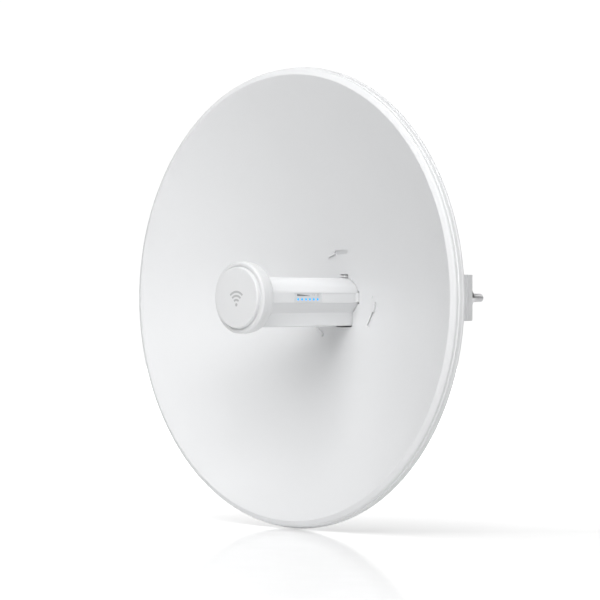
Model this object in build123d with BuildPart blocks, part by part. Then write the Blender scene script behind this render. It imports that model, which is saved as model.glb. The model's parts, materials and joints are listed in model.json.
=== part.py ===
from build123d import *
from math import cos, radians, sin, sqrt, tan
import os

os.makedirs("parts", exist_ok=True)

# An outdoor wireless bridge: a dish reflector on a hub, a feed that slides out of its middle,
# and a tilting bracket with a toothed clamp for a pole.
# The pole runs along Z through the origin and the dish looks along -Y.
# A "station" is a distance forward of the pole axis, along -Y.

# ---- Driving dimensions, in millimetres ----
dish_diameter = 420.0
bowl_depth = 75.2
rim_height = 9.0              # how far the rim stands outside the bowl
sheet = 1.0
bowl_station = 103.5          # front surface of the bowl at its middle
tilt_range = 20.0

boom_radius = 18.4            # arch of the boom, about the dish's axis
band_half = 17.8              # half width across the flat side bands
band_top, band_bottom = 4.5, -4.7
wall_half = 10.5              # half width of the trough below the chamfers
chamfer_bottom = -13.6
trough_bottom, trough_draft = -27.0, 1.3
shell_wall = 2.0
rib_half, rib_width = 19.2, 8.6        # guide ribs that stand on the side bands
feed_gap = 0.4                # sliding clearance round the feed

tail_station = 66.5
tail_plate = 2.0
shell_start = 69.1
boom_end_station = 221.6
head_radius = 32.5
face_radius = 27.4
face_station = 240.5
seam_station = 231.5

label_start, label_end = 151.5, 185.2
panel_start, panel_end = 108.2, 146.9
led_first, led_pitch, led_count, led_height = 156.0, 4.94, 6, -1.5
led_pin = 1.15

slot_angles = (101.5, 221.5, 341.5)   # where each keyhole slot turns from wide to narrow
slot_outer, slot_inner, slot_narrow = 44.6, 40.4, 42.5
entry_sweep, lock_sweep = 20.0, 13.0

latch_root, latch_tip, latch_half = 86.0, 108.2, 4.4
latch_slot_half, latch_pin, latch_pin_half, latch_pin_height = 4.9, 0.7, 6.9, 20.2
tail_screw_places = ((-10.4, 9.6), (10.4, 9.6))
reset_place = (7.0, 2.5)

hub_rear, hub_front = 60.0, 106.0
hub_wall = 2.5
flange_radius, flange_bore = 52.0, 37.7
lug_inner, lug_face = 34.0, 41.0      # the hub's lugs, in X
lug_radius = 11.5
window_half, window_bottom, window_top = 12.5, -23.0, 3.0
door_half, door_bottom, door_top = 15.5, -26.0, 7.0
door_station, door_sheet = 57.7, 2.0

pivot_station = 52.0
lock_arm = 28.0               # lock bolts' distance forward of the pivot
arm_gap, arm_sheet = 0.3, 3.0
arm_tip, arm_tip_half = 89.5, 16.5
web_station, web_sheet, web_half = 30.5, 3.5, 24.0

pole_radius_max, pole_radius_min = 25.4, 12.5
v_half_angle, v_half_width = 60.0, 24.0
tooth_pitch, tooth_depth = 3.0, 1.1
bolt_x, bolt_radius, bolt_end = 32.0, 4.0, 48.0    # M8
lock_radius = 3.0                                  # M6
jaw_ear_front, jaw_ear_back, jaw_back = 18.0, 25.0, 35.0
jaw_half_width, jaw_half_height = 43.0, 22.0
running_fit = 0.06
gap = 0.3                     # between pieces that move on each other

# ---- Values that follow ----
rim_radius = dish_diameter / 2
bowl_radius = rim_radius - rim_height
lip_station = bowl_station + bowl_depth
bowl_edge = lip_station - 1.2
focal_length = bowl_radius**2 / (4 * (bowl_edge - bowl_station))
arm_inner = lug_face + arm_gap
arm_outer = arm_inner + arm_sheet
v_apex = pole_radius_max / sin(radians(v_half_angle))
led_stations = [led_first + led_pitch * n for n in range(led_count)]


def radial_section(angle):
    """The half plane through the dish's axis at an angle: x is the station and y the radius."""
    turn = radians(angle)
    return Plane(origin=(0, 0, 0), x_dir=(0, -1, 0), z_dir=(-sin(turn), 0, cos(turn)))


def bowl_at(radius):
    """Station of the bowl's front surface at a radius."""
    return bowl_station + radius**2 / (4 * focal_length)


def across(station):
    """The plane across the dish's axis at a station, facing forward: x is X and y is Z."""
    return Plane.XZ.offset(station)


section = radial_section(90)          # upright, so its y is also the height Z
side_view = Plane.YZ                  # x is Y, so stations are negative here


def boom_section(grow=0.0, bottom=trough_bottom):
    """The boom's section: an arch, two side bands, two chamfers and a trough with round corners."""
    arch_half = sqrt(boom_radius**2 - band_top**2)
    with BuildSketch() as outline:
        with BuildLine():
            arch = ThreePointArc((arch_half, band_top), (0, boom_radius), (-arch_half, band_top))
            flank = Polyline(
                arch @ 1,
                (-band_half, band_bottom),
                (-wall_half, chamfer_bottom),
                (-wall_half, bottom),
                (0, bottom),
            )
            mirror(flank, about=Plane.YZ)
        make_face()
        floor = outline.vertices().group_by(Axis.Y)[0].sort_by(Axis.X)
        fillet([floor[0], floor[-1]], radius=1.5)
        if grow:
            offset(amount=grow)
    return outline.sketch


def half_section(upper, grow=0.0, bottom=trough_bottom):
    """The part of the boom's section above or below the parting line."""
    with BuildSketch() as outline:
        add(boom_section(grow, bottom))
        with Locations((0, band_bottom)):
            away = Align.MAX if upper else Align.MIN
            Rectangle(100, 100, align=(Align.CENTER, away), mode=Mode.SUBTRACT)
    return outline.sketch


def ring_sector(inner, outer, start, sweep):
    """A sector of a flat ring, angles in degrees from the sketch's x axis."""
    with BuildSketch() as sector:
        with BuildLine():
            far = CenterArc((0, 0), outer, start, sweep)
            near = CenterArc((0, 0), inner, start, sweep)
            Line(far @ 0, near @ 0)
            Line(far @ 1, near @ 1)
        make_face()
    return sector.sketch


def finish_node(builder, name):
    """Label a finished piece and write it."""
    builder.part.label = name
    export_step(builder.part, f"parts/{name}.step")


# ---- Reflector: spun sheet bowl with a stepped, hemmed rim ----
with BuildPart() as dish_reflector:
    with BuildSketch(section):
        with BuildLine():
            front = Bezier(
                (bowl_station, 0), (bowl_station, bowl_radius / 2), (bowl_edge, bowl_radius)
            )
            back = Bezier(
                (bowl_station - sheet, 0),
                (bowl_station - sheet, bowl_radius / 2),
                (bowl_edge - sheet, bowl_radius),
            )
            Line(front @ 0, back @ 0)
            Line(front @ 1, back @ 1)
        make_face()
        with BuildLine():
            Polyline(
                (bowl_edge - 0.63, bowl_radius - 1.0),
                (lip_station - 0.5, rim_radius - 8.0),
                (lip_station, rim_radius - 7.1),
                (lip_station - 0.3, rim_radius - 6.0),
                (lip_station - 1.6, rim_radius - 3.1),
                (lip_station - 2.7, rim_radius - 2.0),
                (lip_station - 5.2, rim_radius - 1.8),
                (lip_station - 5.8, rim_radius - 0.8),
                (lip_station - 9.0, rim_radius - 0.5),
                (lip_station - 9.5, rim_radius),
                (lip_station - 11.0, rim_radius),
            )
            offset(amount=sheet * 0.9, side=Side.LEFT, kind=Kind.INTERSECTION)
        make_face()
    revolve(axis=Axis.Y)
    # The keyed hole that the boom passes, with room for its two guide ribs and the latch
    with BuildSketch(across(bowl_station + 8)):
        add(boom_section(feed_gap))
        Rectangle(2 * (rib_half + feed_gap), rib_width + 3.0)
        with Locations((0, boom_radius)):
            Rectangle(2 * latch_slot_half, 3.2, align=(Align.CENTER, Align.MIN))
    extrude(amount=-16, mode=Mode.SUBTRACT)
    # Keyhole slots for the hub's hooks: a wide entry, then a narrow lock
    with BuildSketch(across(bowl_station + 8)):
        for angle in slot_angles:
            add(ring_sector(slot_inner, slot_outer, angle - entry_sweep, entry_sweep))
            add(ring_sector(slot_narrow, slot_outer, angle - 0.5, lock_sweep + 0.5))
    extrude(amount=-16, mode=Mode.SUBTRACT)
    # Detent pip beside the last slot, for the hub's lock
    pip_radius = 38.0
    with BuildSketch(across(bowl_at(pip_radius) - sheet / 2)):
        with Locations((pip_radius, 0.5)):
            Circle(1.3)
    extrude(amount=sheet / 2 + 0.7, taper=20)
finish_node(dish_reflector, "dish_reflector")

# ---- Feed: upper shell ----
with BuildPart() as feed_upper_shell:
    with BuildSketch(across(shell_start)):
        add(half_section(True))
        add(half_section(True, -shell_wall), mode=Mode.SUBTRACT)
    extrude(amount=boom_end_station - 0.1 - shell_start)
    # Guide ribs on both side bands, with a ramp where they end in front of the dish
    with BuildSketch(Plane.XY.offset(-rib_width / 2)):
        with BuildLine():
            rib = Polyline(
                (band_half - 0.5, -shell_start),
                (rib_half, -shell_start),
                (rib_half, -panel_start + 3.6),
                (band_half - 0.5, -panel_start + 0.5),
                close=True,
            )
        make_face()
        mirror(about=Plane.YZ)
    extrude(amount=rib_width)
    # Recesses for the status label, and a plain panel on each side
    with BuildSketch(side_view.offset(band_half - 0.5)):
        with Locations((-(label_start + label_end) / 2, 0)):
            Rectangle(label_end - label_start, 8.6)
    extrude(amount=1, mode=Mode.SUBTRACT)
    for face_x, outward in ((band_half - 0.3, 1), (0.3 - band_half, -1)):
        with BuildSketch(side_view.offset(face_x)):
            with Locations((-(panel_start + panel_end) / 2, 0)):
                Rectangle(panel_end - panel_start, 8.6)
        extrude(amount=outward, mode=Mode.SUBTRACT)
    # Six holes for the light guide's pins
    with BuildSketch(side_view.offset(band_half - 3)):
        with Locations(*[(-station, led_height) for station in led_stations]):
            Circle(led_pin + 0.1)
    extrude(amount=4, mode=Mode.SUBTRACT)
    # Pocket in the arch for the latch's tooth
    with BuildSketch(Plane.XY.offset(boom_radius - 1.2)):
        with Locations((0, -97.3)):
            Rectangle(2 * latch_slot_half, 3.6)
    extrude(amount=2, mode=Mode.SUBTRACT)
    # Bosses for the tail screws
    with BuildSketch(across(shell_start)):
        with Locations(*tail_screw_places):
            Circle(3.2)
        add(half_section(True, -0.4), mode=Mode.INTERSECT)
        with Locations(*tail_screw_places):
            Circle(1.2, mode=Mode.SUBTRACT)
    extrude(amount=9)
finish_node(feed_upper_shell, "feed_upper_shell")

# ---- Feed: lower shell, drafted towards the tail ----
with BuildPart() as feed_lower_shell:
    for grow, mode in ((0.0, Mode.ADD), (-shell_wall, Mode.SUBTRACT)):
        with BuildSketch(across(shell_start)):
            add(half_section(False, grow, trough_bottom + trough_draft))
        with BuildSketch(across(boom_end_station - 0.1)):
            add(half_section(False, grow))
        loft(mode=mode)
finish_node(feed_lower_shell, "feed_lower_shell")

# ---- Feed head: cup, seal, cap ----
with BuildPart() as head_cup:
    with BuildSketch(section):
        with BuildLine():
            Polyline(
                (boom_end_station, 14.6),
                (boom_end_station, 27.8),
                (boom_end_station + 0.9, 29.4),
                (boom_end_station + 2.9, 31.2),
                (boom_end_station + 4.6, 31.8),
                (seam_station, head_radius),
                (seam_station, 28.4),
                (boom_end_station + 3.6, 27.8),
                (boom_end_station + 2.0, 26.0),
                (boom_end_station + 2.0, 14.6),
                close=True,
            )
        make_face()
        with Locations((seam_station, 30.3)):
            Rectangle(2.2, 1.4, mode=Mode.SUBTRACT)
    revolve(axis=Axis.Y)
finish_node(head_cup, "head_cup")

with BuildPart() as head_seal:
    with BuildSketch(section):
        with Locations((seam_station - 0.5, 30.3)):
            Rectangle(1.0, 1.2)
    revolve(axis=Axis.Y)
finish_node(head_seal, "head_seal")

with BuildPart() as head_cap:
    with BuildSketch(section):
        with BuildLine():
            Polyline(
                (face_station, 0),
                (face_station, face_radius - 0.8),
                (face_station - 0.8, face_radius),
                (face_station - 3.7, face_radius + 0.2),
                (face_station - 3.7, face_radius + 1.1),
                (face_station - 3.0, face_radius + 1.6),
                (face_station - 3.1, head_radius - 1.2),
                (face_station - 4.2, head_radius),
                (seam_station + 0.1, head_radius),
                (seam_station + 0.1, head_radius - 1.8),
                (face_station - 5.7, head_radius - 1.8),
                (face_station - 5.7, face_radius - 2.0),
                (face_station - 1.9, face_radius - 2.0),
                (face_station - 1.9, 0),
                close=True,
            )
        make_face()
    revolve(axis=Axis.Y)
finish_node(head_cap, "head_cap")

# ---- Inside the head: a shaped sub-reflector, the horn and its probes ----
with BuildPart() as sub_reflector:
    with BuildSketch(section):
        with BuildLine():
            Polyline(
                (228.6, 0),
                (230.9, 4.6),
                (232.5, 12.0),
                (232.6, 20.0),
                (231.2, 27.4),
                (232.3, 27.4),
                (233.7, 20.0),
                (233.6, 12.0),
                (232.0, 4.6),
                (229.9, 0),
                close=True,
            )
        make_face()
    revolve(axis=Axis.Y)
finish_node(sub_reflector, "sub_reflector")

with BuildPart() as feed_horn:
    with BuildSketch(section):
        with BuildLine():
            Polyline(
                (188.5, 0),
                (188.5, 13.6),
                (219.0, 13.6),
                (222.0, 14.3),
                (225.5, 14.3),
                (225.5, 13.3),
                (219.5, 12.4),
                (190.0, 12.4),
                (190.0, 0),
                close=True,
            )
        make_face()
    revolve(axis=Axis.Y)
    with BuildSketch(Plane.XY.offset(-14)):
        with Locations((0, -197)):
            Circle(1.1)
    extrude(amount=4, mode=Mode.SUBTRACT)
    with BuildSketch(side_view.offset(-14)):
        with Locations((-207, 0)):
            Circle(1.1)
    extrude(amount=4, mode=Mode.SUBTRACT)
finish_node(feed_horn, "feed_horn")

with BuildPart() as feed_probes:
    with BuildSketch(Plane.XY.offset(-14)):
        with Locations((0, -197)):
            Circle(0.65)
    extrude(amount=9.5)
    with BuildSketch(side_view.offset(-14)):
        with Locations((-207, 0)):
            Circle(0.65)
    extrude(amount=9.5)
finish_node(feed_probes, "feed_probes")

# ---- Electronics along the boom ----
board_top = band_bottom + 1.6
board_start, board_end = 71.0, 187.5
with BuildPart() as radio_board:
    with BuildSketch(Plane.XY.offset(band_bottom)):
        with Locations((0, -(board_start + board_end) / 2)):
            RectangleRounded(30.0, board_end - board_start, 1.0)
    extrude(amount=1.6)
    # Chips and magnetics
    for chip_x, chip_station, chip_width, chip_length, chip_height in (
        (0, 96, 12, 14, 2.4),
        (-10, 92, 4, 6, 1.6),
        (10, 90, 5, 5, 1.2),
        (9, 84, 4, 4, 1.6),
    ):
        with Locations((chip_x, -chip_station, board_top)):
            Box(chip_width, chip_length, chip_height, align=(Align.CENTER, Align.CENTER, Align.MIN))
finish_node(radio_board, "radio_board")

with BuildPart() as rf_shield:
    for can_station, can_length in ((123.0, 34.0), (160.0, 34.0)):
        with Locations((-2.5, -can_station, board_top)):
            Box(22, can_length, 3.4, align=(Align.CENTER, Align.CENTER, Align.MIN))
            Box(
                21.2, can_length - 0.8, 3.0,
                align=(Align.CENTER, Align.CENTER, Align.MIN), mode=Mode.SUBTRACT,
            )
finish_node(rf_shield, "rf_shield")

with BuildPart() as heat_spreader:
    with Locations((0, -137.0, band_bottom)):
        Box(15.0, 74.0, 4.0, align=(Align.CENTER, Align.CENTER, Align.MAX))
    with Locations((0, -137.0, band_bottom - 4)):
        with GridLocations(3.4, 0, 5, 1):
            Box(1.2, 74.0, 13.0, align=(Align.CENTER, Align.CENTER, Align.MAX))
finish_node(heat_spreader, "heat_spreader")

jack_rear, jack_front = 67.0, 88.0
jack_top, jack_bottom, jack_half = band_bottom - 0.1, -18.4, 8.0
with BuildPart() as ethernet_jack:
    with BuildSketch(across(jack_rear)):
        with Locations((0, (jack_top + jack_bottom) / 2)):
            Rectangle(2 * jack_half, jack_top - jack_bottom)
    extrude(amount=jack_front - jack_rear)
    with BuildSketch(across(jack_rear)):
        with Locations((0, -12.0)):
            Rectangle(11.8, 7.2)
        with Locations((0, -16.2)):
            Rectangle(6.2, 1.6)
        with Locations((0, -17.2)):
            Rectangle(3.4, 1.0)
    extrude(amount=14, mode=Mode.SUBTRACT)
    # Eight spring contacts in the roof of the cavity
    with Locations((0, -(jack_rear + 9), -8.7)):
        with GridLocations(1.02, 0, 8, 1):
            Box(0.4, 8.0, 0.9)
finish_node(ethernet_jack, "ethernet_jack")

with BuildPart() as led_emitters:
    with Locations(*[(13.3, -station, board_top) for station in led_stations]):
        Box(1.8, 2.4, 2.6, align=(Align.CENTER, Align.CENTER, Align.MIN))
finish_node(led_emitters, "led_emitters")

with BuildPart() as led_light_guide:
    with BuildSketch(side_view.offset(14.4)):
        with Locations((-(led_stations[0] + led_stations[-1]) / 2, led_height)):
            Rectangle(led_stations[-1] - led_stations[0] + 3.4, 2.6)
    extrude(amount=1.1)
    with BuildSketch(side_view.offset(15.4)):
        with Locations(*[(-station, led_height) for station in led_stations]):
            Circle(led_pin)
    extrude(amount=band_half - 0.1 - 15.4)
finish_node(led_light_guide, "led_light_guide")

with BuildPart() as status_label:
    with BuildSketch(side_view.offset(band_half - 0.45)):
        with Locations((-(label_start + label_end) / 2, 0)):
            RectangleRounded(label_end - label_start - 0.4, 8.2, 0.6)
        with Locations(*[(-station, led_height) for station in led_stations]):
            Circle(led_pin + 0.05, mode=Mode.SUBTRACT)
    extrude(amount=0.3)
finish_node(status_label, "status_label")

# ---- Tail of the feed ----
tail_bottom = trough_bottom + trough_draft
with BuildPart() as tail_cap:
    with BuildSketch(across(tail_station)):
        add(boom_section(0, tail_bottom))
        with Locations((0, (jack_top + jack_bottom) / 2)):
            Rectangle(2 * jack_half + 0.3, jack_top - jack_bottom + 0.3, mode=Mode.SUBTRACT)
        with Locations(*tail_screw_places):
            Circle(1.4, mode=Mode.SUBTRACT)
        with Locations(reset_place):
            Circle(1.6 + gap, mode=Mode.SUBTRACT)
    extrude(amount=tail_plate)
finish_node(tail_cap, "tail_cap")

with BuildPart() as tail_seal:
    with BuildSketch(across(tail_station + tail_plate)):
        add(boom_section(-0.2, tail_bottom))
        add(boom_section(-1.7, tail_bottom), mode=Mode.SUBTRACT)
    extrude(amount=0.6)
finish_node(tail_seal, "tail_seal")

with BuildPart() as tail_screws:
    with BuildSketch(across(tail_station - 1.4)):
        with Locations(*tail_screw_places):
            Circle(2.3)
    extrude(amount=1.4)
    with BuildSketch(across(tail_station)):
        with Locations(*tail_screw_places):
            Circle(1.1)
    extrude(amount=10)
finish_node(tail_screws, "tail_screws")

with BuildPart() as reset_button:
    with BuildSketch(across(tail_station - 0.9)):
        with Locations(reset_place):
            Circle(1.6)
    extrude(amount=7.5)
    with BuildSketch(across(tail_station + tail_plate + gap)):
        with Locations(reset_place):
            Circle(2.6)
    extrude(amount=1.0)
finish_node(reset_button, "reset_button")

# ---- Latch finger over the boom's top: root barrel on a pin, thin arm, tooth and thumb bump ----
latch_under = boom_radius + 0.32
with BuildPart() as feed_latch:
    with BuildSketch(side_view.offset(-latch_half)):
        with BuildLine():
            Polyline(
                (-latch_root, latch_under + 0.4),
                (-latch_root, latch_pin_height),
                (-104.8, latch_pin_height),
                (-105.6, latch_pin_height + 0.4),
                (-latch_tip + 0.8, latch_pin_height + 0.4),
                (-latch_tip, latch_pin_height - 0.4),
                (-latch_tip, latch_under + 0.1),
                (-104.6, latch_under + 0.1),
                (-104.2, latch_under + 0.4),
                (-98.6, latch_under + 0.4),
                (-98.5, latch_under),
                (-96.6, latch_under),
                (-95.8, latch_under + 0.4),
                close=True,
            )
        make_face()
        with Locations((-latch_root, latch_pin_height)):
            Circle(1.4)
    extrude(amount=2 * latch_half)
    with BuildSketch(side_view.offset(-latch_pin_half)):
        with Locations((-latch_root, latch_pin_height)):
            Circle(latch_pin)
    extrude(amount=2 * latch_pin_half)
finish_node(feed_latch, "feed_latch")

# ---- Hub behind the dish ----
back_gap = 0.35
with BuildPart() as rear_housing:
    with BuildSketch(section) as hub_profile:
        with BuildLine():
            Polyline(
                (hub_rear, 0),
                (hub_rear, 35.0),
                (hub_rear + 3.5, 37.4),
                (92.5, 40.2),
                (98.0, 49.5),
                (99.5, flange_radius),
                (bowl_at(flange_radius) - sheet - back_gap, flange_radius),
                (bowl_at(flange_bore - 2) - sheet - back_gap, flange_bore - 2),
                (bowl_at(0) - sheet - back_gap, 0),
                close=True,
            )
        make_face()
    revolve(axis=Axis.Y)
    with BuildSketch(section):
        with BuildLine():
            Polyline(
                (hub_rear + hub_wall, 0),
                (hub_rear + hub_wall, 34.4),
                (91.0, flange_bore),
                (hub_front + 4, flange_bore),
                (hub_front + 4, 0),
                close=True,
            )
        make_face()
    revolve(axis=Axis.Y, mode=Mode.SUBTRACT)
    # Radial ribs from the feed's socket to the wall
    with BuildSketch(*[radial_section(angle) for angle in (35, 65, 115, 145, 195, 235, 305, 345)]):
        with BuildLine():
            Polyline(
                (hub_rear + 1, 8),
                (hub_rear + 1, 34.8),
                (91.0, flange_bore + 0.4),
                (100.0, flange_bore + 0.4),
                (97.0, 8),
                close=True,
            )
        make_face()
    extrude(amount=1.0, both=True)
    # Socket round the feed's tail, then the keyed passage through it
    with BuildSketch(across(72.0)):
        add(boom_section(feed_gap + 2.2))
        RectangleRounded(2 * (rib_half + feed_gap + 2.2), rib_width + 5.2, 1.5)
    extrude(amount=29.0)
    # Cheeks that carry the latch's pin
    with BuildSketch(side_view.offset(-latch_slot_half - 2.4)):
        with Locations((-latch_root, latch_pin_height - 1.2)):
            Rectangle(4.6, 6.4)
    extrude(amount=2 * latch_slot_half + 4.8)
    with BuildSketch(across(hub_rear + hub_wall)):
        add(boom_section(feed_gap))
        Rectangle(2 * (rib_half + feed_gap), rib_width + 2 * feed_gap)
    extrude(amount=50, mode=Mode.SUBTRACT)
    # The latch's slot through the socket's top, and its pin's bearings
    with BuildSketch(Plane.XY.offset(boom_radius - 1)):
        with Locations((0, -latch_root + 2.6)):
            Rectangle(2 * latch_slot_half, 30, align=(Align.CENTER, Align.MAX))
    extrude(amount=6, mode=Mode.SUBTRACT)
    with BuildSketch(side_view.offset(-latch_pin_half - gap)):
        with Locations((-latch_root, latch_pin_height)):
            Circle(latch_pin + running_fit)
    extrude(amount=2 * (latch_pin_half + gap), mode=Mode.SUBTRACT)
    # Cable window in the rear wall
    with BuildSketch(across(hub_rear - 1)):
        with Locations((0, (window_bottom + window_top) / 2)):
            RectangleRounded(2 * window_half, window_top - window_bottom, 2.0)
    extrude(amount=6, mode=Mode.SUBTRACT)
    # Lugs for the pivot and lock bolts
    for lug_start in (lug_inner, -lug_face):
        with BuildSketch(side_view.offset(lug_start)):
            with Locations((-pivot_station, 0)):
                Circle(lug_radius)
            with Locations((-pivot_station - lock_arm - 6, 0)):
                Circle(lug_radius + 2)
            make_hull()
        extrude(amount=lug_face - lug_inner)
        with BuildSketch(side_view.offset(lug_start - 1)):
            with Locations((-pivot_station, 0)):
                Circle(bolt_radius + 0.05)
            with Locations((-pivot_station - lock_arm, 0)):
                Circle(lock_radius + 0.05)
        extrude(amount=lug_face - lug_inner + 2, mode=Mode.SUBTRACT)
    # Rails that hold the sliding door, closed at the top
    with BuildSketch(across(door_station - 1.6)) as rails:
        with Locations((0, (door_bottom + door_top) / 2 + 1.2)):
            Rectangle(2 * (door_half + 2.6), door_top - door_bottom + 2.4)
        with Locations((0, door_bottom - 10)):
            Rectangle(
                2 * (door_half - 1.8), door_top - door_bottom + 10,
                align=(Align.CENTER, Align.MIN), mode=Mode.SUBTRACT,
            )
    extrude(amount=hub_rear + 0.5 - door_station + 1.6)
    with BuildSketch(across(door_station - gap)):
        with Locations((0, door_bottom - 10)):
            Rectangle(
                2 * (door_half + gap), door_top - door_bottom + 10 + gap,
                align=(Align.CENTER, Align.MIN),
            )
    extrude(amount=hub_rear - door_station + gap, mode=Mode.SUBTRACT)
    # Gussets between the flange and the wall, forward of the bracket's arms
    with BuildSketch(*[radial_section(angle) for angle in range(0, 360, 30)]):
        with BuildLine():
            Polyline((93.4, 39.0), (93.4, 41.2), (99.8, 50.4), (99.8, 39.0), close=True)
        make_face()
    extrude(amount=0.8, both=True)
    # Hooks: a stem through the slot's narrow end, and a head over the front of the dish
    hook_start, hook_sweep = 1.0, 11.0
    hook_root, hook_head, hook_top = 103.0, bowl_at(slot_outer) + 0.3, 1.25
    for angle in slot_angles:
        with BuildSketch(across(hook_root)):
            add(ring_sector(slot_narrow + 0.25, slot_outer - 0.25, angle + hook_start, hook_sweep))
        extrude(amount=hook_head + hook_top - hook_root)
        with BuildSketch(across(hook_head)):
            add(ring_sector(slot_inner + 0.6, slot_outer - 0.25, angle + hook_start, hook_sweep))
        extrude(amount=hook_top)
finish_node(rear_housing, "rear_housing")

with BuildPart() as port_door:
    with BuildSketch(across(door_station)):
        with Locations((0, (door_bottom + door_top) / 2)):
            Rectangle(2 * door_half, door_top - door_bottom)
        with Locations((0, door_bottom)):
            Rectangle(8, 10, mode=Mode.SUBTRACT)
        with Locations((0, door_bottom + 5)):
            Circle(4, mode=Mode.SUBTRACT)
    extrude(amount=door_sheet)
    with Locations(*[(0, -door_station, height) for height in (-2, 0.5, 3)]):
        Box(18, 1.2, 1.2, align=(Align.CENTER, Align.MIN, Align.CENTER))
finish_node(port_door, "port_door")

# ---- Pivot and lock fasteners, one set each side ----
washer_sheet = 1.2
washer_face = arm_outer + gap


def hex_bolts(shank_radius, across_flats, head_height, station):
    """A pair of hexagon bolts along X, one each side, with their heads outside the washers."""
    with BuildPart() as pair:
        for outward in (1, -1):
            with BuildSketch(side_view.offset(outward * (lug_inner + 1))):
                with Locations((-station, 0)):
                    Circle(shank_radius)
            extrude(amount=outward * (washer_face + washer_sheet - lug_inner - 1))
            with BuildSketch(side_view.offset(outward * (washer_face + washer_sheet))):
                with Locations((-station, 0)):
                    RegularPolygon(across_flats / 2, 6, major_radius=False)
            extrude(amount=outward * head_height)
    return pair


def washers(bore, outer, station):
    """A pair of washers outside the bracket's arms."""
    with BuildPart() as pair:
        for outward in (1, -1):
            with BuildSketch(side_view.offset(outward * washer_face)):
                with Locations((-station, 0)):
                    Circle(outer)
                    Circle(bore, mode=Mode.SUBTRACT)
            extrude(amount=outward * washer_sheet)
    return pair


lock_station = pivot_station + lock_arm
finish_node(hex_bolts(bolt_radius, 13.0, 5.3, pivot_station), "pivot_bolts")
finish_node(washers(bolt_radius + 0.1, 8.5, pivot_station), "pivot_washers")
finish_node(hex_bolts(lock_radius, 10.0, 4.0, lock_station), "lock_bolts")
finish_node(washers(lock_radius + 0.1, 6.5, lock_station), "lock_washers")


def toothed_v(away):
    """Half of a toothed V face, from its edge to its apex: tooth tips lie on the V's plane."""
    lean = radians(90 - v_half_angle)
    along = (-cos(lean), away * sin(lean))
    into = (sin(lean), away * cos(lean))
    start = (v_half_width, away * (v_apex - v_half_width * tan(lean)))
    points = [start]
    count = int((v_half_width / cos(lean) - 5) / tooth_pitch)
    for tooth in range(count):
        for run, depth in ((0.35, 0.0), (0.6, tooth_depth), (0.9, tooth_depth)):
            reach = (tooth + run) * tooth_pitch
            points.append(
                (
                    start[0] + along[0] * reach + into[0] * depth,
                    start[1] + along[1] * reach + into[1] * depth,
                )
            )
    reach = count * tooth_pitch
    points.append((start[0] + along[0] * reach, start[1] + along[1] * reach))
    points.append((0, points[-1][1]))
    return points


# ---- Pole bracket: U-shaped, with elevation arcs in its arms and a toothed V on its web ----
with BuildPart() as pole_bracket:
    with BuildSketch(Plane.XY.offset(-web_half)) as channel:
        with Locations((0, -web_station)):
            Rectangle(2 * arm_outer, arm_tip - web_station, align=(Align.CENTER, Align.MAX))
        fillet(channel.vertices().group_by(Axis.Y)[-1], radius=5.0)
        with BuildLine():
            inner = FilletPolyline(
                (-arm_inner, -arm_tip - 1),
                (-arm_inner, -web_station - web_sheet),
                (arm_inner, -web_station - web_sheet),
                (arm_inner, -arm_tip - 1),
                radius=2.0,
            )
            Line(inner @ 1, inner @ 0)
        make_face(mode=Mode.SUBTRACT)
    extrude(amount=2 * web_half)
    with BuildSketch(side_view) as arm_outline:
        with BuildLine():
            Polyline(
                (-web_station, web_half),
                (-46.0, web_half),
                (-76.0, arm_tip_half),
                (-arm_tip, arm_tip_half),
                (-arm_tip, -arm_tip_half),
                (-76.0, -arm_tip_half),
                (-46.0, -web_half),
                (-web_station, -web_half),
                close=True,
            )
        make_face()
        fillet(arm_outline.vertices().group_by(Axis.X)[0], radius=9.0)
    extrude(amount=60, both=True, mode=Mode.INTERSECT)
    with BuildSketch(side_view):
        with Locations((-pivot_station, 0)):
            Circle(bolt_radius + running_fit)
            add(
                ring_sector(
                    lock_arm - lock_radius - gap,
                    lock_arm + lock_radius + gap,
                    180 - tilt_range,
                    2 * tilt_range,
                )
            )
            with Locations(
                *[
                    (-lock_arm * cos(radians(end)), lock_arm * sin(radians(end)))
                    for end in (-tilt_range, tilt_range)
                ]
            ):
                Circle(lock_radius + gap)
    extrude(amount=60, both=True, mode=Mode.SUBTRACT)
    # Elevation scale beside each arc: a mark every 5 degrees, engraved in the arm's outer face
    mark_depth, mark_arm = 0.4, lock_arm + lock_radius + 2.6
    for mark in range(-int(tilt_range), int(tilt_range) + 1, 5):
        length = 2.6 if mark % 10 == 0 else 1.5
        for face, outward in ((arm_outer - mark_depth, 1), (mark_depth - arm_outer, -1)):
            with BuildSketch(side_view.offset(face)):
                with Locations(Location((-pivot_station, 0), 180 + mark)):
                    with Locations((mark_arm + length / 2, 0)):
                        Rectangle(length, 0.6)
            extrude(amount=2 * outward, mode=Mode.SUBTRACT)
    # The toothed V that the pole seats in
    with BuildSketch(Plane.XY.offset(4 - web_half)):
        with BuildLine():
            right = Polyline((0, -web_station), (26.5, -web_station), *toothed_v(-1))
            mirror(right, about=Plane.YZ)
        make_face()
    extrude(amount=2 * web_half - 8)
    # Square holes for the carriage bolts' necks
    with BuildSketch(across(web_station - 1)):
        with Locations((-bolt_x, 0), (bolt_x, 0)):
            Rectangle(8.3, 8.3)
    extrude(amount=web_sheet + 2, mode=Mode.SUBTRACT)
finish_node(pole_bracket, "pole_bracket")

with BuildPart() as carriage_bolts:
    with BuildSketch(across(-bolt_end)):
        with Locations((-bolt_x, 0), (bolt_x, 0)):
            Circle(bolt_radius)
    extrude(amount=bolt_end + web_station + web_sheet)
    with BuildSketch(across(web_station)):
        with Locations((-bolt_x, 0), (bolt_x, 0)):
            Rectangle(8.0, 8.0)
    extrude(amount=web_sheet)
    with BuildSketch(across(web_station + web_sheet)):
        with Locations((-bolt_x, 0), (bolt_x, 0)):
            Circle(7.2)
    extrude(amount=4.4, taper=28)
finish_node(carriage_bolts, "carriage_bolts")

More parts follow.
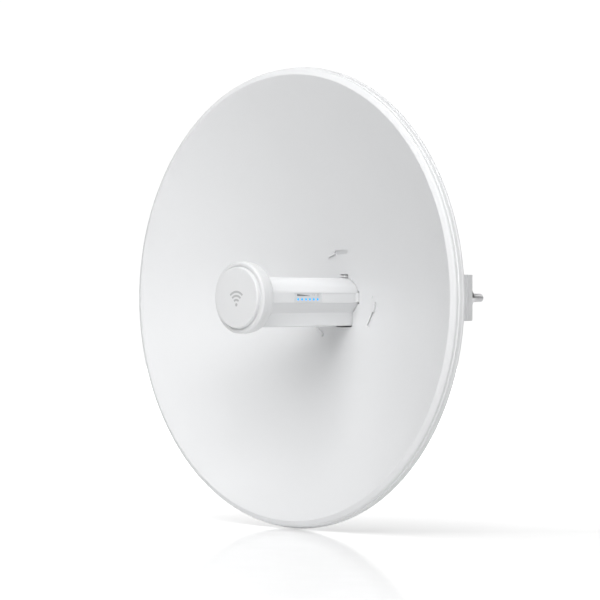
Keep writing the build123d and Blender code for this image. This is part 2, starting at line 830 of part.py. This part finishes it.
# ---- Clamp jaw: the same toothed V, facing it across the pole ----
with BuildPart() as clamp_jaw:
    with BuildSketch(Plane.XY.offset(-jaw_half_height)) as jaw_profile:
        with BuildLine():
            half = Polyline(
                *reversed(toothed_v(1)),
                (26.5, 16.4),
                (26.5, jaw_ear_front),
                (jaw_half_width, jaw_ear_front),
                (jaw_half_width, jaw_ear_back),
                (22.0, jaw_ear_back),
                (12.0, jaw_back),
                (0, jaw_back),
            )
            mirror(half, about=Plane.YZ)
        make_face()
    extrude(amount=2 * jaw_half_height)
    with BuildSketch(across(-jaw_ear_back - 1)):
        with Locations((-bolt_x, 0), (bolt_x, 0)):
            Circle(bolt_radius + 0.5)
    extrude(amount=jaw_ear_back - jaw_ear_front + 2, mode=Mode.SUBTRACT)
finish_node(clamp_jaw, "clamp_jaw")


def flange_nut(nut_x):
    """A flange nut on the carriage bolt at nut_x, behind the jaw."""
    with BuildPart() as nut:
        with BuildSketch(across(-jaw_ear_back - gap)):
            with Locations((nut_x, 0)):
                Circle(8.8)
                Circle(bolt_radius + running_fit, mode=Mode.SUBTRACT)
        extrude(amount=-1.6)
        with BuildSketch(across(-jaw_ear_back - gap)):
            with Locations((nut_x, 0)):
                RegularPolygon(6.5, 6, major_radius=False)
                Circle(bolt_radius + running_fit, mode=Mode.SUBTRACT)
        extrude(amount=-8)
    return nut


finish_node(flange_nut(-bolt_x), "flange_nut_left")
finish_node(flange_nut(bolt_x), "flange_nut_right")
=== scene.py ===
"""Looks for the outdoor wireless bridge: finishes, printed marks, threads, lights and camera."""
import json
import math

import bmesh
import bpy
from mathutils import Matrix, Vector


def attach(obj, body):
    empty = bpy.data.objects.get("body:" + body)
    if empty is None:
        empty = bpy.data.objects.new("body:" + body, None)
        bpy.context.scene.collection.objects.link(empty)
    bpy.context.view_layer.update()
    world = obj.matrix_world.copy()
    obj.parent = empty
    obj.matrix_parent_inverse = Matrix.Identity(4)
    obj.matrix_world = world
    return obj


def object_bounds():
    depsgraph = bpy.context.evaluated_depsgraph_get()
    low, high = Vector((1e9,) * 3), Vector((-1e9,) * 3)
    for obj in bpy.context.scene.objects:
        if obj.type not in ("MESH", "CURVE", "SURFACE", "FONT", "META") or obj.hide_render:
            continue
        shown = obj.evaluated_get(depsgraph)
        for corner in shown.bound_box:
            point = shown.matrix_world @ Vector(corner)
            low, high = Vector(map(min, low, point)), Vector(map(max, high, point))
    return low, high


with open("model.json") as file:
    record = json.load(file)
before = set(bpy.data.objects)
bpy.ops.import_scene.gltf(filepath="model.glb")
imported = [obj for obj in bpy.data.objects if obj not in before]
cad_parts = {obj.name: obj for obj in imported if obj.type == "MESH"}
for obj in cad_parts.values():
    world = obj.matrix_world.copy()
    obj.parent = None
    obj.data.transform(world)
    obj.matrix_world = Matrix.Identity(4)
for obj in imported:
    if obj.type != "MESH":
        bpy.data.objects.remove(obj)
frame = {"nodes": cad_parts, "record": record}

MM = 0.001
cad_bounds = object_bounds()
nodes = frame["nodes"]


# ---- Node material helpers ----
def new_material(name):
    """An empty node material with a Principled shader, returned with its tree, shader and coordinates."""
    material = bpy.data.materials.new(name)
    material.use_nodes = True
    tree = material.node_tree
    tree.nodes.clear()
    output = tree.nodes.new("ShaderNodeOutputMaterial")
    shader = tree.nodes.new("ShaderNodeBsdfPrincipled")
    tree.links.new(shader.outputs["BSDF"], output.inputs["Surface"])
    place = tree.nodes.new("ShaderNodeTexCoord")
    return material, tree, shader, place.outputs["Object"]


def noise(tree, place, scale, detail=2.0, roughness=0.5, stretch=None):
    """A noise value; stretch scales the coordinates to draw the grain out along an axis."""
    if stretch:
        mapping = tree.nodes.new("ShaderNodeMapping")
        mapping.inputs["Scale"].default_value = stretch
        tree.links.new(place, mapping.inputs["Vector"])
        place = mapping.outputs["Vector"]
    node = tree.nodes.new("ShaderNodeTexNoise")
    node.inputs["Scale"].default_value = scale
    node.inputs["Detail"].default_value = detail
    node.inputs["Roughness"].default_value = roughness
    tree.links.new(place, node.inputs["Vector"])
    return node.outputs["Fac"]


def spread(tree, value, low, high):
    """Map the middle of a noise value onto low..high."""
    node = tree.nodes.new("ShaderNodeMapRange")
    node.inputs["From Min"].default_value = 0.3
    node.inputs["From Max"].default_value = 0.7
    node.inputs["To Min"].default_value = low
    node.inputs["To Max"].default_value = high
    tree.links.new(value, node.inputs["Value"])
    return node.outputs["Result"]


def two_tone(tree, value, dark, light):
    """A colour that runs from dark to light with a value."""
    node = tree.nodes.new("ShaderNodeMix")
    node.data_type = "RGBA"
    node.inputs["A"].default_value = (*dark, 1)
    node.inputs["B"].default_value = (*light, 1)
    tree.links.new(value, node.inputs["Factor"])
    return node.outputs["Result"]


def bump(tree, shader, height, distance, strength=1.0, under=None):
    """Feed a height into the shader's normal, over an earlier bump if there is one."""
    node = tree.nodes.new("ShaderNodeBump")
    node.inputs["Strength"].default_value = strength
    node.inputs["Distance"].default_value = distance
    tree.links.new(height, node.inputs["Height"])
    if under:
        tree.links.new(under, node.inputs["Normal"])
    tree.links.new(node.outputs["Normal"], shader.inputs["Normal"])
    return node.outputs["Normal"]


def shade(colour, factor):
    """A colour multiplied by a factor."""
    return tuple(min(1.0, channel * factor) for channel in colour)


# ---- Materials ----
def powder_coat(name, colour, peel=0.00003):
    """White powder coat: faint orange peel, a finer speckle and slow cloudy toning."""
    material, tree, shader, place = new_material(name)
    cloud = noise(tree, place, 9.0, detail=3.0)
    speckle = noise(tree, place, 2600.0, detail=1.0)
    tone = tree.nodes.new("ShaderNodeMath")
    tone.operation = "MULTIPLY"
    tree.links.new(spread(tree, cloud, 0.4, 1.0), tone.inputs[0])
    tree.links.new(spread(tree, speckle, 0.55, 1.0), tone.inputs[1])
    colour_out = two_tone(tree, tone.outputs["Value"], shade(colour, 0.972), colour)
    tree.links.new(colour_out, shader.inputs["Base Color"])
    tree.links.new(spread(tree, noise(tree, place, 320.0), 0.46, 0.56), shader.inputs["Roughness"])
    shader.inputs["Specular IOR Level"].default_value = 0.42
    peel_normal = bump(tree, shader, noise(tree, place, 620.0, detail=2.0), peel, 0.5)
    bump(tree, shader, speckle, 0.000006, 0.4, under=peel_normal)
    return material


def moulded_plastic(name, colour, low=0.42, high=0.52, grain=3200.0, depth=0.000012):
    """Matte moulded plastic: spark-eroded grain and faint flow clouds."""
    material, tree, shader, place = new_material(name)
    cloud = noise(tree, place, 26.0, detail=4.0, stretch=(1.0, 0.35, 1.0))
    texture = noise(tree, place, grain, detail=3.0, roughness=0.65)
    colour_out = two_tone(tree, spread(tree, cloud, 0.0, 1.0), shade(colour, 0.978), colour)
    tree.links.new(colour_out, shader.inputs["Base Color"])
    tree.links.new(spread(tree, texture, low, high), shader.inputs["Roughness"])
    shader.inputs["Specular IOR Level"].default_value = 0.45
    shader.inputs["Subsurface Weight"].default_value = 0.06
    shader.inputs["Subsurface Radius"].default_value = (0.0012, 0.0011, 0.001)
    bump(tree, shader, texture, depth, 0.45)
    return material


def brushed_metal(name, colour, stretch, low=0.24, high=0.4, metallic=1.0):
    """Machined or drawn metal with fine lines along one direction."""
    material, tree, shader, place = new_material(name)
    lines = noise(tree, place, 420.0, detail=4.0, roughness=0.7, stretch=stretch)
    stain = noise(tree, place, 60.0, detail=3.0)
    colour_out = two_tone(tree, spread(tree, stain, 0.0, 1.0), shade(colour, 0.88), colour)
    tree.links.new(colour_out, shader.inputs["Base Color"])
    tree.links.new(spread(tree, lines, low, high), shader.inputs["Roughness"])
    shader.inputs["Metallic"].default_value = metallic
    bump(tree, shader, lines, 0.000008, 0.35)
    return material


def threaded_metal(name, colour, pitch, shank_end):
    """Machined metal whose length along +Y past a point carries a rolled thread."""
    material = brushed_metal(name, colour, (6.0, 1.0, 6.0))
    tree = material.node_tree
    shader = tree.nodes["Principled BSDF"]
    place = tree.nodes.new("ShaderNodeTexCoord").outputs["Object"]
    ridges = tree.nodes.new("ShaderNodeTexWave")
    ridges.bands_direction = "Y"
    ridges.inputs["Scale"].default_value = math.pi / (10 * pitch)
    tree.links.new(place, ridges.inputs["Vector"])
    parts = tree.nodes.new("ShaderNodeSeparateXYZ")
    tree.links.new(place, parts.inputs["Vector"])
    past = tree.nodes.new("ShaderNodeMath")
    past.operation = "GREATER_THAN"
    past.inputs[1].default_value = shank_end
    tree.links.new(parts.outputs["Y"], past.inputs[0])
    height = tree.nodes.new("ShaderNodeMath")
    height.operation = "MULTIPLY"
    tree.links.new(ridges.outputs["Fac"], height.inputs[0])
    tree.links.new(past.outputs["Value"], height.inputs[1])
    bump(tree, shader, height.outputs["Value"], 0.0005, 1.0)
    return material


def rubber(name, colour):
    """Matte silicone rubber with a faint bloom."""
    material, tree, shader, place = new_material(name)
    bloom = noise(tree, place, 180.0, detail=4.0)
    colour_out = two_tone(tree, spread(tree, bloom, 0.0, 1.0), colour, shade(colour, 1.5))
    tree.links.new(colour_out, shader.inputs["Base Color"])
    tree.links.new(spread(tree, bloom, 0.68, 0.82), shader.inputs["Roughness"])
    bump(tree, shader, noise(tree, place, 2400.0), 0.00001, 0.5)
    return material


def circuit_laminate(name, colour):
    """Green solder mask with the ghost of copper tracks under it."""
    material, tree, shader, place = new_material(name)
    brick = tree.nodes.new("ShaderNodeTexBrick")
    brick.inputs["Scale"].default_value = 260.0
    brick.inputs["Mortar Size"].default_value = 0.035
    brick.inputs["Color1"].default_value = (*colour, 1)
    brick.inputs["Color2"].default_value = (*shade(colour, 0.86), 1)
    brick.inputs["Mortar"].default_value = (*shade(colour, 1.7), 1)
    tree.links.new(place, brick.inputs["Vector"])
    tree.links.new(brick.outputs["Color"], shader.inputs["Base Color"])
    tree.links.new(spread(tree, noise(tree, place, 500.0), 0.24, 0.36), shader.inputs["Roughness"])
    bump(tree, shader, brick.outputs["Fac"], 0.00002, 0.4)
    return material


def lit_guide(name, colour, strength):
    """Clear acrylic lit from behind, a little uneven from end to end."""
    material, tree, shader, place = new_material(name)
    glow = noise(tree, place, 900.0, detail=2.0)
    colour_out = two_tone(tree, spread(tree, glow, 0.0, 1.0), shade(colour, 0.86), colour)
    tree.links.new(colour_out, shader.inputs["Base Color"])
    tree.links.new(colour_out, shader.inputs["Emission Color"])
    shader.inputs["Emission Strength"].default_value = strength
    tree.links.new(spread(tree, glow, 0.12, 0.22), shader.inputs["Roughness"])
    return material


def printed_ink(name, colour):
    """Screen-printed ink: nearly even, with a slight dot texture."""
    material, tree, shader, place = new_material(name)
    dots = noise(tree, place, 5200.0, detail=1.0)
    colour_out = two_tone(tree, spread(tree, dots, 0.0, 1.0), shade(colour, 0.94), shade(colour, 1.04))
    tree.links.new(colour_out, shader.inputs["Base Color"])
    tree.links.new(spread(tree, dots, 0.5, 0.6), shader.inputs["Roughness"])
    return material


WHITE = (0.722, 0.728, 0.735)
STEEL = (0.66, 0.66, 0.67)
THREAD_PITCH = 1.25 * MM       # M8
THREAD_START = -22 * MM        # in Y; the bolts are plain forward of it
finishes = {
    "reflector_paint": powder_coat("reflector_paint", (0.722, 0.728, 0.736)),
    "bracket_paint": powder_coat("bracket_paint", (0.69, 0.697, 0.705), peel=0.00005),
    "feed_plastic": moulded_plastic("feed_plastic", WHITE),
    "hub_plastic": moulded_plastic("hub_plastic", (0.7, 0.706, 0.714), low=0.5, high=0.62, grain=2200.0),
    "button_plastic": moulded_plastic("button_plastic", (0.12, 0.125, 0.13)),
    "label_film": moulded_plastic(
        "label_film", (0.655, 0.668, 0.682), low=0.3, high=0.38, grain=5200.0, depth=0.000004
    ),
    "seal_rubber": rubber("seal_rubber", (0.035, 0.035, 0.038)),
    "bare_aluminium": brushed_metal("bare_aluminium", (0.78, 0.79, 0.8), (1.0, 12.0, 1.0)),
    "probe_brass": brushed_metal("probe_brass", (0.78, 0.58, 0.26), (1.0, 1.0, 8.0)),
    "tinned_steel": brushed_metal("tinned_steel", (0.7, 0.71, 0.72), (1.0, 9.0, 1.0)),
    "jack_shell": brushed_metal("jack_shell", (0.6, 0.6, 0.61), (1.0, 9.0, 1.0)),
    "stainless": brushed_metal("stainless", STEEL, (6.0, 1.0, 6.0)),
    "board_laminate": circuit_laminate("board_laminate", (0.02, 0.13, 0.06)),
    "lamp_body": moulded_plastic("lamp_body", (0.8, 0.8, 0.72), low=0.2, high=0.3),
    "light_guide": lit_guide("light_guide", (0.025, 0.4, 0.9), 0.62),
}
own_finishes = {
    "carriage_bolts": threaded_metal("rolled_thread", STEEL, THREAD_PITCH, THREAD_START),
}
ink_grey = printed_ink("ink_grey", (0.45, 0.455, 0.46))
ink_dark = printed_ink("ink_dark", (0.16, 0.165, 0.17))


# ---- CAD nodes: their slot's finish or their own, and small real edge radii in millimetres ----
EDGE_RADII = {
    "feed_upper_shell": 0.25, "feed_lower_shell": 0.25, "head_cup": 0.2, "head_cap": 0.2,
    "tail_cap": 0.25, "feed_latch": 0.2, "rear_housing": 0.5, "port_door": 0.35,
    "pole_bracket": 0.5, "clamp_jaw": 0.5, "pivot_bolts": 0.4, "lock_bolts": 0.3,
    "pivot_washers": 0.15, "lock_washers": 0.15, "ethernet_jack": 0.15, "reset_button": 0.2,
    "heat_spreader": 0.2, "rf_shield": 0.15, "flange_nut_left": 0.35, "flange_nut_right": 0.35,
}


def soften_edges(node, radius):
    """Weld the mesh's split corners and round its sharp edges by a radius in millimetres."""
    weld = node.modifiers.new("weld", "WELD")
    weld.merge_threshold = 1e-6
    bevel = node.modifiers.new("edge_radius", "BEVEL")
    bevel.width = radius * MM
    bevel.segments = 2
    bevel.limit_method = "ANGLE"
    bevel.angle_limit = math.radians(35)
    bevel.use_clamp_overlap = True
    bevel.harden_normals = True


for entry in frame["record"]["subparts"]:
    name = entry["node"]
    node = nodes[name]
    node.data.materials.clear()
    node.data.materials.append(own_finishes.get(name) or finishes[entry["material_slot"]])
    if name in EDGE_RADII:
        soften_edges(node, EDGE_RADII[name])


# ---- Printed marks: thin raised ink on the head's face and on the lamp label ----
INK = 0.02                    # thickness of the ink, in millimetres
FACE_STATION = 240.5          # the head's flat face, in millimetres forward of the pole
LABEL_X = 17.65               # the label's outer face


def arc_band(centre, inner, outer, start, end, steps=24):
    """Outline of a band between two radii, as points in a plane, angles in degrees from +x."""
    angles = [math.radians(start + (end - start) * n / steps) for n in range(steps + 1)]
    outside = [(centre[0] + outer * math.cos(a), centre[1] + outer * math.sin(a)) for a in angles]
    inside = [(centre[0] + inner * math.cos(a), centre[1] + inner * math.sin(a)) for a in reversed(angles)]
    return outside + inside


def disc(centre, radius, steps=24):
    """Outline of a round spot."""
    turns = [2 * math.pi * n / steps for n in range(steps)]
    return [(centre[0] + radius * math.cos(a), centre[1] + radius * math.sin(a)) for a in turns]


def printed(name, outlines, origin, right, up, ink):
    """Ink of an even thickness inside flat outlines, lying on the plane through an origin."""
    right, up, origin = Vector(right), Vector(up), Vector(origin)
    out = right.cross(up)
    mesh = bmesh.new()
    for outline in outlines:
        corners = [mesh.verts.new((origin + right * x + up * y) * MM) for x, y in outline]
        face = mesh.faces.new(corners)
        raised = bmesh.ops.extrude_face_region(mesh, geom=[face])["geom"]
        moved = [item for item in raised if isinstance(item, bmesh.types.BMVert)]
        bmesh.ops.translate(mesh, verts=moved, vec=out * INK * MM)
        bmesh.ops.delete(mesh, geom=[face], context="FACES_ONLY")
    bmesh.ops.recalc_face_normals(mesh, faces=mesh.faces[:])
    data = bpy.data.meshes.new(name)
    mesh.to_mesh(data)
    mesh.free()
    data.materials.append(ink)
    piece = bpy.data.objects.new(name, data)
    bpy.context.scene.collection.objects.link(piece)
    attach(piece, "feed")


# A generic mark on the face: a dot under three rising waves.
WAVE_ROOT = (0, -6.4)
WAVE_RADII = (4.4, 8.0, 11.6)
WAVE_HALF = 0.95
WAVE_START, WAVE_END = 47, 133
DOT_RADIUS = 1.5
face_plane = ((0, -FACE_STATION, 0), (1, 0, 0), (0, 0, 1))
waves = [
    arc_band(WAVE_ROOT, radius - WAVE_HALF, radius + WAVE_HALF, WAVE_START, WAVE_END)
    for radius in WAVE_RADII
]
printed("face_mark", [disc(WAVE_ROOT, DOT_RADIUS)] + waves, *face_plane, ink_grey)

# On the label, +Y is to the reader's right: a wedge for signal strength, a link and a power symbol.
label_plane = ((LABEL_X, 0, 0), (0, 1, 0), (0, 0, 1))
wedge = [(-182.0, 1.5), (-165.8, 1.5), (-165.8, 1.8), (-182.0, 3.3)]
printed("signal_wedge", [wedge], *label_plane, ink_dark)
link = [
    arc_band((x, 2.45), 0.42, 0.8, side - 65, side + 65, 10)
    for x, side in ((-161.7, 180), (-160.4, 0))
]
bar = [(-161.9, 2.3), (-160.2, 2.3), (-160.2, 2.6), (-161.9, 2.6)]
power = arc_band((-155.6, 2.4), 0.75, 1.15, 125, 415)
stem = [(-155.78, 2.55), (-155.42, 2.55), (-155.42, 3.75), (-155.78, 3.75)]
printed("status_symbols", link + [bar, power, stem], *label_plane, ink_grey)


# ---- Floor, light and camera ----
AIM_STATION = 0.1648          # forward of the pole, on the dish's axis
AIM_RIGHT, AIM_UP = 0.0025, -0.0021
AZIMUTH = math.radians(46.0)
CAMERA_DISTANCE = 2.511
FOCAL_PIXELS = 2750.0
IMAGE_PIXELS = 600.0
SENSOR = 36.0

to_camera = Vector((math.sin(AZIMUTH), -math.cos(AZIMUTH), 0))
to_right = Vector((math.cos(AZIMUTH), math.sin(AZIMUTH), 0))
axis_point = Vector((0, -AIM_STATION, 0))
behind = -to_camera           # the way the lit backdrop lies
aim = axis_point + to_right * AIM_RIGHT + Vector((0, 0, AIM_UP))

camera_data = bpy.data.cameras.new("camera")
camera_data.sensor_width = SENSOR
camera_data.lens = FOCAL_PIXELS / IMAGE_PIXELS * SENSOR
camera = bpy.data.objects.new("camera", camera_data)
bpy.context.scene.collection.objects.link(camera)
camera.location = aim + to_camera * CAMERA_DISTANCE
camera.rotation_euler = behind.to_track_quat("-Z", "Y").to_euler()
bpy.context.scene.camera = camera


def floor_material():
    """A pale seamless sweep: satin white, reflecting faintly, and lit up more towards the back."""
    material, tree, shader, place = new_material("floor_white")
    fibre = noise(tree, place, 30.0, detail=3.0)
    tone = two_tone(tree, spread(tree, fibre, 0.0, 1.0), (0.9, 0.9, 0.9), (0.92, 0.92, 0.92))
    tree.links.new(tone, shader.inputs["Base Color"])
    shader.inputs["Roughness"].default_value = 0.1
    shader.inputs["Specular IOR Level"].default_value = 0.12
    depth = tree.nodes.new("ShaderNodeVectorMath")
    depth.operation = "DOT_PRODUCT"
    depth.inputs[1].default_value = behind
    glow = tree.nodes.new("ShaderNodeMapRange")
    glow.inputs["From Min"].default_value = -0.15
    glow.inputs["From Max"].default_value = 0.75
    glow.inputs["To Min"].default_value = 0.06
    glow.inputs["To Max"].default_value = 1.0
    tree.links.new(place, depth.inputs[0])
    tree.links.new(depth.outputs["Value"], glow.inputs["Value"])
    tree.links.new(glow.outputs["Result"], shader.inputs["Emission Strength"])
    shader.inputs["Emission Color"].default_value = (1, 1, 1, 1)
    return material


FLOOR_RADIUS = 6.0
FLOOR_GAP = 0.0005            # keeps the floor just clear of the rim

floor_mesh = bmesh.new()
bmesh.ops.create_circle(floor_mesh, cap_ends=True, segments=96, radius=FLOOR_RADIUS)
floor_data = bpy.data.meshes.new("floor")
floor_mesh.to_mesh(floor_data)
floor_mesh.free()
floor = bpy.data.objects.new("floor", floor_data)
bpy.context.scene.collection.objects.link(floor)
floor.location.z = cad_bounds[0][2] - FLOOR_GAP
floor.data.materials.append(floor_material())


LIGHT_DISTANCE = 2.6
LIGHT_SIZE = 1.6
LIGHTS = (                    # name, azimuth and elevation in degrees, watts
    ("key", 60, 38, 30.5),
    ("front", 20, 38, 25.5),
    ("overhead", 20, 65, 21.0),
    ("overhead_left", -20, 65, 4.7),
    ("side_fill", -70, 38, 3.8),
)


def area_light(name, azimuth, elevation, power):
    """A square soft light that faces the middle of the dish; azimuth turns from -Y towards +X."""
    data = bpy.data.lights.new(name, "AREA")
    data.size = LIGHT_SIZE
    data.energy = power
    light = bpy.data.objects.new(name, data)
    bpy.context.scene.collection.objects.link(light)
    around, above = math.radians(azimuth), math.radians(elevation)
    level = Vector((math.sin(around), -math.cos(around), 0))
    towards = level * math.cos(above) + Vector((0, 0, math.sin(above)))
    light.location = axis_point + towards * LIGHT_DISTANCE
    light.rotation_euler = (-towards).to_track_quat("-Z", "Y").to_euler()


for light_row in LIGHTS:
    area_light(*light_row)

# White straight behind the object, dim all round, so that the lights do the modelling.
world = bpy.data.worlds.new("studio")
bpy.context.scene.world = world
world.use_nodes = True
world_tree = world.node_tree
background = world_tree.nodes["Background"]
background.inputs["Color"].default_value = (1, 1, 1, 1)
sky_direction = world_tree.nodes.new("ShaderNodeTexCoord")
facing = world_tree.nodes.new("ShaderNodeVectorMath")
facing.operation = "DOT_PRODUCT"
facing.inputs[1].default_value = behind
backdrop = world_tree.nodes.new("ShaderNodeMapRange")
backdrop.inputs["From Min"].default_value = 0.8
backdrop.inputs["From Max"].default_value = 0.93
backdrop.inputs["To Min"].default_value = 0.16
backdrop.inputs["To Max"].default_value = 1.04
world_tree.links.new(sky_direction.outputs["Generated"], facing.inputs[0])
world_tree.links.new(facing.outputs["Value"], backdrop.inputs["Value"])
world_tree.links.new(backdrop.outputs["Result"], background.inputs["Strength"])
bpy.context.scene.view_settings.view_transform = "Standard"
